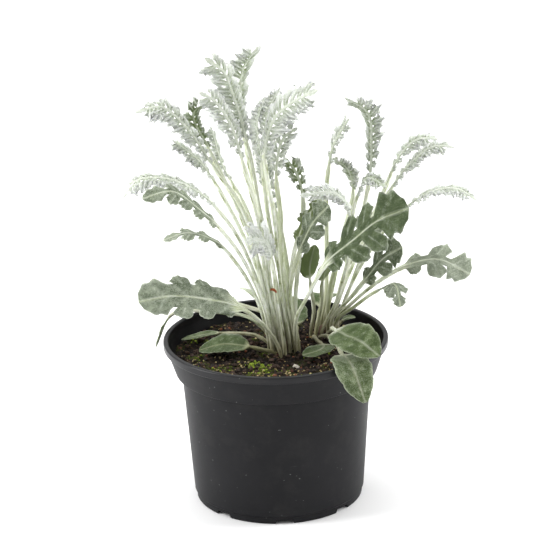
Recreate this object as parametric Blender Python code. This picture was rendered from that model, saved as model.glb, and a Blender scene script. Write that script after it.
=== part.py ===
"""Potted dusty miller: silvery, deeply cut leaves on pale stalks in a round plastic nursery pot.

The pot stands on z = 0 with its axis on the Z axis, and the plant faces -Y.
Leaves are laid out in millimetres and made into meshes in metres.
"""
import math
import random

import bpy
import numpy as np
from mathutils import Vector

MM = 0.001
GAP = 0.4

# Pot, in millimetres: a 17 cm nursery pot
POT_HEIGHT = 126.3
RIM_RADIUS = 85.0
LIP_HEIGHT = 5.6
COLLAR_HEIGHT = 24.6
COLLAR_FOOT_RADIUS = 76.6
WALL_TOP_RADIUS = 71.7
WALL_FOOT_RADIUS = 65.0
FOOT_RADIUS = 63.7
WALL = 1.6
ROUND = 1.1
STEP_DROP = 1.4
LIP_OVERHANG = 2.6
LIP_WIDTH = 3.8
LIP_FADE = 2.0
FOOT_WIDTH = 3.4
FOOT_HEIGHT = 6.0
PAD_SLOPE = 3.0
PAD_RADIUS = 25.0
CHANNEL_RADIUS = 57.5
CHANNEL_RISE = 4.0
NOTCHES = 8
NOTCH_WIDTH = 15.0
NOTCH_RISE = 3.2
NOTCH_TURN = math.radians(-87.0)
DRAIN_RADIUS = 4.0
DRAIN_CIRCLE = 46.0
DRAIN_SIDES = 10
POT_SIDES = 40

# Soil and the two crowns that stand in it
SOIL_TOP = 113.0
SOIL_RELIEF = 1.3
PIT_RADIUS = 19.6
PIT_DEPTH = 13.0
PIT_SIDES = 24
CROWNS = {"left": (8.0, 2.0), "right": (36.0, 34.0)}
CROWN_RADIUS = 3.6
CROWN_RISE = 9.0
CROWN_SIDES = 10
FOOT_Z = SOIL_TOP - 9.0
COLUMN_RISE = 2.5
RING_RADII = (6.6, 11.2, 15.6)

# Leaf build: half thickness of a blade and of a stalk, and the finish of each kind
BLADE_HALF = 0.42
STALK_HALF = 1.35
MIN_WING = 1.1
MIN_REACH = 3.0
CURL_REACH = 9.0
FULL_TIP = 0.35
TIP_SHOULDER = 0.3
TIP_ROUND = 0.55
STALK_SECTION = 16.0
MIN_STALK_SECTIONS = 3
MAX_STALK_SECTIONS = 6


def hue(red, green, blue):
    """Linear colour with alpha from three sRGB bytes."""
    parts = []
    for value in (red, green, blue):
        share = value / 255.0
        parts.append(share / 12.92 if share <= 0.04045 else ((share + 0.055) / 1.055) ** 2.4)
    return (*parts, 1.0)


FINISHES = {
    "pot_plastic": (hue(42, 44, 46), 0.42),
    "potting_soil": (hue(44, 35, 28), 0.95),
    "crown_stem": (hue(142, 128, 112), 0.8),
    "frond_felt": (hue(205, 211, 206), 0.85),
    "leaf_sage": (hue(138, 153, 132), 0.8),
    "leaf_green": (hue(118, 138, 104), 0.75),
}

# Kinds of leaf. pitch: distance between the lobes of one side, or 0 for an uncut blade;
# wing: half width of the uncut strip beside the midrib, and reach: length of a lobe, both as
# shares of the blade's half width; forward: how far a lobe leans to the tip, in degrees;
# fill: share of the pitch that a lobe takes; tip: share of the blade in the end lobe.
KINDS = {
    "frond": {"pitch": 12.5, "wing": 0.16, "reach": 0.86, "forward": 34.0, "fill": 0.74,
              "tip": 0.16, "stalk": 1.9, "layout": "alternate", "columns": 1, "rows": 2,
              "finish": "frond_felt"},
    "broad": {"pitch": 34.0, "wing": 0.44, "reach": 0.56, "forward": 24.0, "fill": 0.76,
              "tip": 0.46, "stalk": 2.0, "layout": "opposite", "columns": 2, "rows": 2,
              "finish": "leaf_sage"},
    "lobed": {"pitch": 18.0, "wing": 0.36, "reach": 0.62, "forward": 28.0, "fill": 0.84,
              "tip": 0.26, "stalk": 2.0, "layout": "opposite", "columns": 2, "rows": 2,
              "finish": "leaf_sage"},
    "scalloped": {"pitch": 19.0, "wing": 0.60, "reach": 0.38, "forward": 18.0, "fill": 0.84,
                  "tip": 0.30, "stalk": 2.0, "layout": "opposite", "columns": 2, "rows": 2,
                  "finish": "leaf_sage"},
    "felted": {"pitch": 12.0, "wing": 0.45, "reach": 0.55, "forward": 30.0, "fill": 0.84,
               "tip": 0.22, "stalk": 2.2, "layout": "opposite", "columns": 2, "rows": 2,
               "finish": "frond_felt"},
    "oval": {"pitch": 0.0, "wing": 1.0, "reach": 0.0, "forward": 0.0, "fill": 1.0,
             "tip": 1.0, "stalk": 1.6, "layout": "opposite", "columns": 2, "rows": 2,
             "finish": "leaf_green"},
}

# Leaves. Each row: name, crown, kind, foot ring (0 inner to 2 outer), foot bearing in degrees,
# route of the stalk and midrib in millimetres from above the foot to the tip,
# blade length, blade half width, turn about the midrib, droop of the lobes, all in mm or degrees.
LEAVES = (
    ("frond_left_high", "left", "frond", 0, 170,
     ((-2, 4, 161), (-9, 4, 222), (-18, 6, 279), (-27, 8, 314), (-33, 6, 331), (-46, -2, 344)),
     76, 15, -60, 150),
    ("frond_top", "left", "frond", 0, 120,
     ((2, 14, 158), (-9, 28, 214), (-18, 38, 262), (-22, 42, 300), (-19, 40, 325), (-8, 34, 342)),
     62, 16, 20, 75),
    ("frond_left_mid", "left", "frond", 0, 215,
     ((-5, 0, 164), (-12, -2, 226), (-21, -4, 265), (-30, -6, 297), (-42, -8, 315), (-51, -12, 321)),
     64, 11, -70, 160),
    ("frond_white_tall", "left", "frond", 0, 300,
     ((5, 4, 163), (1, 2, 224), (-4, 4, 272), (4, 2, 297), (19, -4, 311), (35, -10, 320)),
     74, 17, 60, 130),
    ("frond_slim", "left", "frond", 0, 70,
     ((9, 15, 157), (1, 26, 214), (-5, 34, 263), (-1, 34, 295), (8, 28, 313)),
     52, 8, 40, 150),
    ("frond_inner_right", "left", "frond", 0, 15,
     ((7, 9, 161), (6, 14, 218), (4, 16, 256), (10, 14, 278), (20, 8, 287)),
     46, 10, 50, 150),
    ("frond_inner_mid", "left", "frond", 1, 88,
     ((6, 20, 157), (-3, 21, 212), (-7, 26, 253), (-10, 27, 288), (-4, 21, 307)),
     56, 10, 20, 140),
    ("frond_left_arch", "left", "frond", 1, 190,
     ((-9, 2, 171), (-24, 4, 230), (-44, 6, 261), (-62, 6, 290), (-80, 2, 307), (-98, -4, 305)),
     78, 13, -35, 110),
    ("frond_left_curl", "left", "frond", 1, 145,
     ((-8, 12, 167), (-27, 24, 223), (-47, 36, 265), (-57, 40, 292), (-48, 36, 302)),
     44, 9, -20, 130),
    ("frond_left_thin", "left", "frond", 1, 120,
     ((-5, 18, 165), (-21, 36, 219), (-37, 44, 249), (-45, 46, 279)),
     44, 7, 10, 130),
    ("frond_left_low", "left", "frond", 1, 215,
     ((-12, -6, 171), (-34, -11, 223), (-55, -14, 247), (-79, -16, 258), (-99, -18, 257),
      (-109, -20, 245)),
     82, 10, -20, 110),
    ("frond_left_small", "left", "frond", 1, 167,
     ((-9, 6, 165), (-33, 12, 227), (-54, 14, 262), (-73, 12, 279)),
     46, 8, -10, 130),
    ("leaf_left_drooped", "left", "lobed", 2, 215,
     ((-14, -14, 173), (-34, -30, 217), (-54, -40, 242), (-72, -46, 257), (-93, -52, 254)),
     68, 14, -30, 35),
    ("leaf_left_narrow", "left", "lobed", 2, 193,
     ((-13, -2, 156), (-26, -4, 184), (-45, -8, 207), (-64, -12, 214), (-81, -16, 210)),
     50, 9, -15, 20),
    ("leaf_left_broad", "left", "scalloped", 2, 250,
     ((-6, -16, 138), (-26, -30, 161), (-51, -40, 172), (-76, -46, 177), (-99, -54, 176)),
     76, 24, -30, 18),
    ("leaf_centre_felted", "left", "felted", 1, 262,
     ((1, -6, 158), (-1, -10, 189), (-6, -16, 207), (-20, -26, 212)),
     34, 15, -10, 40),
    ("leaf_left_ground", "left", "oval", 2, 230,
     ((-9, -12, 120), (-23, -11, 123), (-40, -6, 123), (-58, -5, 118)),
     40, 12, -14, 0),
    ("leaf_left_ground_back", "left", "oval", 2, 152,
     ((-14, 13, 122), (-31, 17, 123), (-47, 20, 122), (-72, 22, 117)),
     30, 6, 0, 0),
    ("leaf_left_over_rim", "left", "oval", 2, 131,
     ((-12, 22, 129), (-52, 26, 138), (-77, 32, 136), (-92, 27, 110)),
     26, 8, 0, 0),
    ("leaf_left_small_felted", "left", "oval", 2, 172,
     ((-6, 3, 127), (-15, 0, 138), (-30, -2, 147)),
     20, 4, 0, 0),
    ("leaf_left_small_curl", "left", "oval", 2, 110,
     ((-6, 22, 133), (-14, 32, 145), (-22, 36, 151), (-27, 38, 152)),
     16, 5, 20, 0),
    ("leaf_right_broad", "left", "broad", 1, 320,
     ((16, -12, 145), (25, -18, 165), (40, -26, 194), (58, -31, 211), (77, -36, 228),
      (99, -40, 238)),
     78, 27, 48, 14),
    ("leaf_dark_upright", "left", "lobed", 1, 345,
     ((12, 0, 163), (17, -3, 186), (23, -6, 204), (31, -9, 220), (42, -13, 233)),
     46, 15, 65, 30),
    ("frond_beaded", "left", "frond", 1, 45,
     ((16, 17, 153), (21, 27, 194), (23, 34, 227), (19, 36, 243), (11, 34, 256)),
     32, 8, 0, 120),
    ("leaf_centre_pointed", "left", "lobed", 1, 10,
     ((11, 10, 158), (14, 12, 181), (19, 14, 201), (27, 14, 218), (36, 12, 230)),
     38, 13, -70, 30),
    ("leaf_far_right", "right", "broad", 2, 335,
     ((48, 30, 128), (60, 28, 142), (80, 24, 160), (98, 20, 172), (124, 12, 180), (147, 2, 171)),
     54, 18, 38, 22),
    ("leaf_right_mid", "right", "broad", 1, 318,
     ((43, 23, 129), (57, 14, 150), (69, 8, 167), (83, 2, 186), (96, -4, 196)),
     44, 16, 60, 15),
    ("leaf_right_drooped", "right", "lobed", 2, 303,
     ((46, 19, 129), (60, 4, 147), (77, -9, 164), (89, -16, 171), (93, -24, 156)),
     34, 13, 5, 25),
    ("leaf_white_level", "right", "felted", 0, 330,
     ((41, 34, 141), (51, 36, 182), (59, 32, 213), (49, 26, 229), (21, 16, 232)),
     50, 10, 20, 50),
    ("leaf_green_low", "right", "oval", 1, 195,
     ((30, 36, 133), (28, 33, 151), (27, 29, 170), (31, 24, 190)),
     30, 9, 75, 0),
    ("leaf_dark_round", "right", "oval", 1, 235,
     ((36, 30, 144), (36, 24, 157), (39, 17, 172), (45, 10, 184)),
     26, 8, 60, 0),
    ("frond_right_upright", "right", "frond", 0, 30,
     ((49, 40, 140), (60, 42, 179), (71, 42, 219), (76, 42, 262), (73, 38, 289), (56, 30, 303)),
     76, 11, 70, 120),
    ("frond_right_arch", "right", "frond", 1, 50,
     ((50, 50, 137), (68, 56, 179), (87, 60, 223), (98, 62, 247), (112, 62, 260), (127, 58, 261)),
     48, 9, 20, 120),
    ("frond_right_arch_low", "right", "frond", 1, 20,
     ((53, 40, 136), (71, 42, 183), (90, 44, 226), (108, 44, 249), (124, 42, 260), (138, 38, 260)),
     60, 8, 20, 120),
    ("frond_far_right", "right", "frond", 1, 350,
     ((52, 36, 136), (72, 30, 180), (96, 22, 214), (119, 18, 232), (139, 12, 235), (152, 6, 228)),
     58, 9, 10, 80),
    ("frond_right_thin", "right", "frond", 0, 110,
     ((39, 46, 138), (41, 56, 183), (43, 64, 233), (48, 66, 256), (60, 62, 278)),
     40, 6, 0, 140),
    ("leaf_right_curled", "right", "felted", 1, 85,
     ((43, 50, 137), (53, 56, 184), (62, 56, 227), (57, 50, 243), (47, 44, 252)),
     36, 8, 30, 60),
    ("leaf_right_arch", "right", "felted", 0, 260,
     ((46, 28, 140), (58, 24, 185), (63, 20, 226), (72, 14, 245), (85, 6, 240)),
     34, 8, 20, 50),
    ("leaf_right_dark_low", "right", "oval", 2, 236,
     ((32, 6, 119), (36, -8, 120), (31, -20, 121), (20, -25, 120)),
     30, 8, 0, 0),
    ("leaf_right_oval", "right", "oval", 2, 280,
     ((43, 4, 129), (43, -24, 140), (51, -44, 143), (62, -57, 142), (75, -69, 135)),
     50, 15, 22, 0),
    ("leaf_right_hanging", "right", "oval", 2, 258,
     ((37, 10, 122), (44, -15, 127), (49, -44, 127), (54, -66, 129), (64, -84, 105)),
     54, 14, 0, 0),
    ("leaf_right_small", "right", "oval", 2, 40,
     ((50, 44, 119), (55, 46, 122), (62, 45, 123)),
     11, 4, 0, 0),
    ("leaf_back_right", "right", "lobed", 2, 66,
     ((46, 54, 126), (56, 66, 155), (69, 80, 181), (89, 92, 193)),
     54, 18, 10, 20),
    ("frond_back_mid", "left", "frond", 1, 70,
     ((12, 20, 144), (7, 40, 191), (-3, 56, 231), (-7, 62, 265)),
     56, 10, 0, 120),
    ("leaf_back_left", "left", "lobed", 2, 90,
     ((4, 25, 127), (-27, 42, 137), (-54, 62, 138), (-81, 80, 134)),
     60, 17, 0, 20),
    ("leaf_back_round", "left", "oval", 2, 60,
     ((16, 22, 122), (16, 44, 128), (14, 60, 136)),
     34, 9, 0, 0),
    ("leaf_back_low", "right", "oval", 2, 100,
     ((34, 58, 121), (38, 74, 131), (44, 95, 122)),
     36, 9, 0, 0),
)


def clear_scene():
    for item in list(bpy.data.objects):
        bpy.data.objects.remove(item, do_unlink=True)


def finish(name):
    """Principled material of one finish, made once."""
    material = bpy.data.materials.get(name)
    if material is None:
        colour, roughness = FINISHES[name]
        material = bpy.data.materials.new(name)
        material.use_nodes = True
        shader = material.node_tree.nodes["Principled BSDF"]
        shader.inputs["Base Color"].default_value = colour
        shader.inputs["Roughness"].default_value = roughness
        shader.inputs["Metallic"].default_value = 0.0
        material.diffuse_color = colour
    return material


def add_object(name, points, faces, finish_name, smooth=True):
    """Mesh object from points in millimetres."""
    mesh = bpy.data.meshes.new(name)
    mesh.from_pydata([Vector(point) * MM for point in points], [], faces)
    mesh.update()
    if smooth:
        mesh.shade_smooth()
        mesh.set_sharp_from_angle(angle=math.radians(40.0))
    mesh.materials.append(finish(finish_name))
    item = bpy.data.objects.new(name, mesh)
    bpy.context.scene.collection.objects.link(item)
    return item


def revolve(profile, sides):
    """Closed turned body: the profile runs from the lower axis point to the upper one."""
    points = [(0.0, 0.0, profile[0][1])]
    rings = []
    for radius, height in profile[1:-1]:
        rings.append(len(points))
        for step in range(sides):
            angle = math.tau * step / sides
            points.append((radius * math.cos(angle), radius * math.sin(angle), height))
    last = len(points)
    points.append((0.0, 0.0, profile[-1][1]))
    faces = []
    for step in range(sides):
        after = (step + 1) % sides
        faces.append((0, rings[0] + after, rings[0] + step))
        for low, high in zip(rings, rings[1:]):
            faces.append((low + step, low + after, high + after, high + step))
        faces.append((last, rings[-1] + step, rings[-1] + after))
    return points, faces


def pot_profile():
    """Half section of the pot, from the underside of the pad out, up, over the lip and back in."""
    step_z = POT_HEIGHT - COLLAR_HEIGHT
    lip_z = POT_HEIGHT - LIP_HEIGHT
    floor_z = CHANNEL_RISE + WALL
    return (
        (0.0, 0.0),
        (PAD_RADIUS, 0.0),
        (PAD_RADIUS + PAD_SLOPE, CHANNEL_RISE),
        (CHANNEL_RADIUS, CHANNEL_RISE),
        (FOOT_RADIUS - FOOT_WIDTH, 0.0),
        (FOOT_RADIUS - ROUND, 0.0),
        (FOOT_RADIUS, ROUND),
        (WALL_FOOT_RADIUS, FOOT_HEIGHT),
        (WALL_TOP_RADIUS, step_z - STEP_DROP),
        (COLLAR_FOOT_RADIUS - 0.5 * ROUND, step_z),
        (COLLAR_FOOT_RADIUS, step_z + ROUND),
        (RIM_RADIUS - LIP_OVERHANG, lip_z - 0.5 * ROUND),
        (RIM_RADIUS - 0.3 * ROUND, lip_z),
        (RIM_RADIUS, lip_z + ROUND),
        (RIM_RADIUS, POT_HEIGHT - ROUND),
        (RIM_RADIUS - ROUND, POT_HEIGHT),
        (RIM_RADIUS - LIP_WIDTH + ROUND, POT_HEIGHT),
        (RIM_RADIUS - LIP_WIDTH, POT_HEIGHT - ROUND),
        (RIM_RADIUS - LIP_WIDTH - 0.5 * ROUND, lip_z - LIP_FADE),
        (COLLAR_FOOT_RADIUS - WALL, step_z + WALL),
        (WALL_TOP_RADIUS - WALL, step_z - STEP_DROP),
        (WALL_FOOT_RADIUS - WALL, floor_z + ROUND),
        (WALL_FOOT_RADIUS - WALL - ROUND, floor_z),
        (PAD_RADIUS + PAD_SLOPE - ROUND, floor_z),
        (PAD_RADIUS - ROUND, WALL),
        (0.0, WALL),
    )


def cut(item, cutters):
    """Boolean difference of the object and its cutters, applied."""
    for cutter in cutters:
        modifier = item.modifiers.new(cutter.name, "BOOLEAN")
        modifier.operation = "DIFFERENCE"
        modifier.object = cutter
    bpy.context.view_layer.update()
    evaluated = item.evaluated_get(bpy.context.evaluated_depsgraph_get())
    mesh = bpy.data.meshes.new_from_object(evaluated)
    item.modifiers.clear()
    item.data = mesh
    for cutter in cutters:
        bpy.data.objects.remove(cutter, do_unlink=True)


def drum(name, radius, low, high, place, sides):
    """Plain upright cylinder used as a cutter, in millimetres."""
    points, faces = revolve(((0.0, low), (radius, low), (radius, high), (0.0, high)), sides)
    shifted = [(x + place[0], y + place[1], z) for x, y, z in points]
    return add_object(name, shifted, faces, "pot_plastic", smooth=False)


def notch_cutter(index, angle):
    """Wedge that opens one drain notch through the foot ring."""
    inner, outer = FOOT_RADIUS - 6.5, FOOT_RADIUS + 4.0
    along = Vector((math.cos(angle), math.sin(angle), 0.0))
    across = Vector((-along.y, along.x, 0.0))
    points = []
    for radius in (inner, outer):
        for half, height in ((0.5, -1.0), (-0.5, -1.0), (-0.38, NOTCH_RISE), (0.38, NOTCH_RISE)):
            point = along * radius + across * (half * NOTCH_WIDTH)
            points.append((point.x, point.y, height))
    faces = [(0, 1, 2, 3), (7, 6, 5, 4)]
    faces += [(k, k + 4, (k + 1) % 4 + 4, (k + 1) % 4) for k in range(4)]
    return add_object(f"notch_{index}", points, faces, "pot_plastic", smooth=False)


def make_pot():
    points, faces = revolve(pot_profile(), POT_SIDES)
    pot = add_object("pot", points, faces, "pot_plastic")
    cutters = []
    for index in range(NOTCHES):
        angle = NOTCH_TURN + math.tau * index / NOTCHES
        cutters.append(notch_cutter(index, angle))
        centre = (DRAIN_CIRCLE * math.cos(angle), DRAIN_CIRCLE * math.sin(angle))
        low, high = 0.5 * CHANNEL_RISE, 2.0 * CHANNEL_RISE
        cutters.append(drum(f"drain_{index}", DRAIN_RADIUS, low, high, centre, DRAIN_SIDES))
    cut(pot, cutters)
    pot.data.shade_smooth()
    pot.data.set_sharp_from_angle(angle=math.radians(40.0))
    return pot


def pot_inner_radius(height):
    """Inside radius of the pot wall at a height above its floor."""
    step_z = POT_HEIGHT - COLLAR_HEIGHT
    low, high = WALL_FOOT_RADIUS - WALL, WALL_TOP_RADIUS - WALL
    if height <= step_z - STEP_DROP:
        share = (height - CHANNEL_RISE - WALL) / (step_z - STEP_DROP - CHANNEL_RISE - WALL)
        return low + (high - low) * share
    collar_low = COLLAR_FOOT_RADIUS - WALL
    if height <= step_z + WALL:
        share = (height - step_z + STEP_DROP) / (WALL + STEP_DROP)
        return high + (collar_low - high) * share
    collar_high = RIM_RADIUS - LIP_WIDTH - 0.5 * ROUND
    share = (height - step_z - WALL) / (POT_HEIGHT - LIP_HEIGHT - LIP_FADE - step_z - WALL)
    return collar_low + (collar_high - collar_low) * share


def soil_height(x, y):
    """Gently uneven top of the soil, a little lower along the wall."""
    swell = math.sin(0.13 * x + 0.6) * math.cos(0.11 * y) + 0.5 * math.sin(0.31 * x - 0.27 * y)
    edge = max(0.0, math.hypot(x, y) - 66.0)
    return SOIL_TOP + SOIL_RELIEF * swell - 0.15 * edge


def make_soil():
    """Soil body: pot-shaped below, uneven on top, with one plain hole for each crown."""
    sides = POT_SIDES
    floor_z = CHANNEL_RISE + WALL + GAP
    step_z = POT_HEIGHT - COLLAR_HEIGHT
    heights = (floor_z, step_z - STEP_DROP, step_z + WALL)
    rings = [(pot_inner_radius(max(z, floor_z)) - 2 * GAP, z) for z in heights]
    rings[0] = (rings[0][0] - ROUND, floor_z)
    top_radius = pot_inner_radius(SOIL_TOP - 2.0) - 4 * GAP
    points = [(0.0, 0.0, floor_z)]
    starts = []
    for radius, height in rings:
        starts.append(len(points))
        for step in range(sides):
            angle = math.tau * step / sides
            points.append((radius * math.cos(angle), radius * math.sin(angle), height))
    for share in (1.0, 0.8, 0.56, 0.3):
        starts.append(len(points))
        for step in range(sides):
            angle = math.tau * step / sides
            x, y = share * top_radius * math.cos(angle), share * top_radius * math.sin(angle)
            points.append((x, y, soil_height(x, y)))
    last = len(points)
    points.append((0.0, 0.0, soil_height(0.0, 0.0)))
    faces = []
    for step in range(sides):
        after = (step + 1) % sides
        faces.append((0, starts[0] + after, starts[0] + step))
        for low, high in zip(starts, starts[1:]):
            faces.append((low + step, low + after, high + after))
            faces.append((low + step, high + after, high + step))
        faces.append((last, starts[-1] + step, starts[-1] + after))
    soil = add_object("soil", points, faces, "potting_soil", smooth=False)
    pits = []
    for name, centre in CROWNS.items():
        low, high = SOIL_TOP - PIT_DEPTH, SOIL_TOP + PIT_DEPTH
        pits.append(drum(f"pit_{name}", PIT_RADIUS, low, high, centre, PIT_SIDES))
    cut(soil, pits)
    return soil


def make_crown(name):
    """Short woody stem of one plant, which the leaf stalks stand round."""
    low = SOIL_TOP - PIT_DEPTH + GAP
    profile = (
        (0.0, low),
        (CROWN_RADIUS * 0.8, low),
        (CROWN_RADIUS, low + 3.0),
        (CROWN_RADIUS * 0.9, SOIL_TOP + CROWN_RISE * 0.4),
        (CROWN_RADIUS * 0.55, SOIL_TOP + CROWN_RISE * 0.85),
        (0.0, SOIL_TOP + CROWN_RISE),
    )
    points, faces = revolve(profile, CROWN_SIDES)
    x, y = CROWNS[name]
    shifted = [(px + x, py + y, pz) for px, py, pz in points]
    return add_object(f"crown_{name}", shifted, faces, "crown_stem")


def smooth_route(points, count=160):
    """Evenly spaced samples of a smooth curve through the points, and its length."""
    knots = np.array(points, float)
    chords = np.linalg.norm(np.diff(knots, axis=0), axis=1)
    times = np.concatenate(([0.0], np.cumsum(chords)))
    slopes = np.diff(knots, axis=0) / chords[:, None]
    tangents = np.empty_like(knots)
    tangents[0], tangents[-1] = slopes[0], slopes[-1]
    for k in range(1, len(knots) - 1):
        before, after = chords[k - 1], chords[k]
        tangents[k] = (slopes[k - 1] * after + slopes[k] * before) / (before + after)
    samples = []
    for time in np.linspace(0.0, times[-1], count):
        k = min(int(np.searchsorted(times, time, side="right")) - 1, len(chords) - 1)
        span = chords[k]
        u = (time - times[k]) / span
        samples.append((2 * u**3 - 3 * u**2 + 1) * knots[k] + (u**3 - 2 * u**2 + u) * span * tangents[k]
                       + (3 * u**2 - 2 * u**3) * knots[k + 1] + (u**3 - u**2) * span * tangents[k + 1])
    samples = np.array(samples)
    steps = np.linalg.norm(np.diff(samples, axis=0), axis=1)
    return samples, np.concatenate(([0.0], np.cumsum(steps)))


def unit(vector):
    return vector / np.linalg.norm(vector)


def lean_frames(samples, runs, distances, turn, blade_start):
    """Point, forward, right and upper directions at each distance along the route."""
    heading = samples[-1] - samples[0]
    out = unit(np.array((heading[0], heading[1], 0.0)))
    right_level = np.array((out[1], -out[0], 0.0))
    frames = []
    for distance in distances:
        point = np.array([np.interp(distance, runs, samples[:, axis]) for axis in range(3)])
        ahead = np.array([np.interp(distance + 1.5, runs, samples[:, axis]) for axis in range(3)])
        behind = np.array([np.interp(distance - 1.5, runs, samples[:, axis]) for axis in range(3)])
        forward = unit(ahead - behind)
        right = unit(right_level - forward * np.dot(right_level, forward))
        upper = np.cross(right, forward)
        ease = min(1.0, max(0.0, (distance - 0.5 * blade_start) / (0.5 * blade_start)))
        roll = math.radians(turn) * ease * ease * (3 - 2 * ease)
        frames.append((point, forward, right * math.cos(roll) - upper * math.sin(roll),
                       upper * math.cos(roll) + right * math.sin(roll)))
    return frames


class Sheet:
    """Middle surface of a leaf: points, upper directions, half thicknesses and quads."""

    def __init__(self):
        self.points = []
        self.uppers = []
        self.halves = []
        self.quads = []

    def add(self, point, upper, half):
        self.points.append(point)
        self.uppers.append(upper)
        self.halves.append(half)
        return len(self.points) - 1

    def solid(self):
        """Closed body: both faces split alike, and a wall round the edge."""
        points = np.array(self.points)
        offset = np.array(self.uppers) * np.array(self.halves)[:, None]
        count = len(points)
        vertices = np.vstack((points + offset, points - offset))
        faces = []
        edges = set()
        for a, b, c, d in self.quads:
            for face in ((a, b, c), (a, c, d)):
                faces.append(face)
                faces.append(tuple(index + count for index in reversed(face)))
            edges.update(((a, b), (b, c), (c, d), (d, a)))
        for a, b in sorted(edges):
            if (b, a) not in edges:
                faces.append((b, a, a + count))
                faces.append((b, a + count, b + count))
        return [tuple(vertex) for vertex in vertices], faces


def stalk_stations(start):
    """Distances of the stalk's sections, from the foot to the foot of the blade."""
    count = max(MIN_STALK_SECTIONS, min(MAX_STALK_SECTIONS, round(start / STALK_SECTION)))
    return [start * (k / count) for k in range(count)]


def blade_stations(kind, start, length):
    """Distances of the blade's sections, and which of them begin a lobe on each side."""
    columns = kind["columns"]
    pairs = max(2, round(length / kind["pitch"])) if kind["pitch"] else 0
    stations, roots = [start], {1: [], -1: []}
    lobed = length * (1.0 - kind["tip"])
    edges = [lobed * (k / pairs) ** 0.92 for k in range(pairs + 1)] if pairs else [0.0]
    for k in range(pairs):
        low, span = start + edges[k], edges[k + 1] - edges[k]
        if kind["layout"] == "alternate":
            shares = [j / (2 * columns) for j in range(1, 2 * columns + 1)]
            roots[1].append(len(stations) - 1)
            roots[-1].append(len(stations) - 1 + columns)
        else:
            shares = [0.74 * j / columns for j in range(1, columns + 1)] + [1.0]
            roots[1].append(len(stations) - 1)
            roots[-1].append(len(stations) - 1)
        stations.extend(low + span * share for share in shares)
    last = stations[-1]
    rest = start + length - last
    steps = 7 if pairs == 0 else 4 if kind["tip"] > FULL_TIP else 3
    stations.extend(last + rest * k / steps for k in range(1, steps + 1))
    return stations, roots


def blade_profile(share):
    """Half width of a lobed blade's outline along its length, 0 at the foot to 1 at the tip."""
    return max(0.0, math.sin(math.pi * min(1.0, 0.18 + 0.82 * share) ** 1.25)) ** 0.7


def oval_profile(share):
    """Half width of an uncut blade along its length."""
    return max(0.12, math.sin(math.pi * min(0.985, share) ** 0.9) ** 0.75)


def wing_width(kind, share, half_width):
    """Half width of the uncut strip beside the midrib."""
    if kind["pitch"] == 0.0:
        return half_width * oval_profile(share)
    tip_start = 1.0 - kind["tip"]
    ease = min(1.0, share / 0.12)
    width = kind["wing"] * half_width * (0.45 + 0.55 * ease) * (1.0 - 0.35 * share)
    if share > tip_start:
        u = (share - tip_start) / kind["tip"]
        full = half_width * blade_profile(tip_start) * min(1.0, kind["tip"] / FULL_TIP)
        rise = min(1.0, u / TIP_SHOULDER)
        rise = rise * rise * (3.0 - 2.0 * rise)
        close = math.sqrt(max(0.0, 1.0 - (max(0.0, u - TIP_ROUND) / (1.0 - TIP_ROUND)) ** 2))
        width = (width + (max(width, full) - width) * rise) * (1.0 - 0.25 * u) * close
    return max(width, MIN_WING)


def add_lobe(sheet, base, side, reach, half_lobe, droop, forward_lean, columns, rows):
    """One lobe grown from the blade's edge: base is the run of edge points it springs from."""
    base_points = [np.array(sheet.points[index]) for index in base]
    middle = sum(base_points) / len(base_points)
    run = base_points[-1] - base_points[0]
    forward = unit(run)
    upper = unit(sum(np.array(sheet.uppers[index]) for index in base))
    outward = unit(np.cross(forward, upper)) * side
    lean = math.radians(forward_lean)
    heading = unit(outward * math.cos(lean) + forward * math.sin(lean))
    across = unit(np.cross(upper, heading)) * side
    point = middle
    previous = list(base)
    for row in range(1, rows + 1):
        share = row / rows
        bend = math.radians(droop) * ((row - 0.5) / rows) ** 1.2
        step = heading * math.cos(bend) - upper * math.sin(bend)
        point = point + step * (reach / rows)
        turn = math.radians(droop) * share ** 1.2
        facing = upper * math.cos(turn) + heading * math.sin(turn)
        half = half_lobe * (1.0 if row < rows else 0.62)
        width_way = unit(forward * (1.0 - 0.6 * share) + across * (0.6 * share))
        current = []
        for column in range(columns + 1):
            u = 2.0 * column / columns - 1.0
            bulge = 0.22 * reach / rows * (1.0 - u * u) if row == rows else 0.0
            place = point + width_way * (u * half) + step * bulge
            current.append(sheet.add(place, facing, BLADE_HALF))
        for column in range(columns):
            quad = (previous[column], previous[column + 1], current[column + 1], current[column])
            sheet.quads.append(quad[::-1] if side > 0 else quad)
        previous = current


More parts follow.
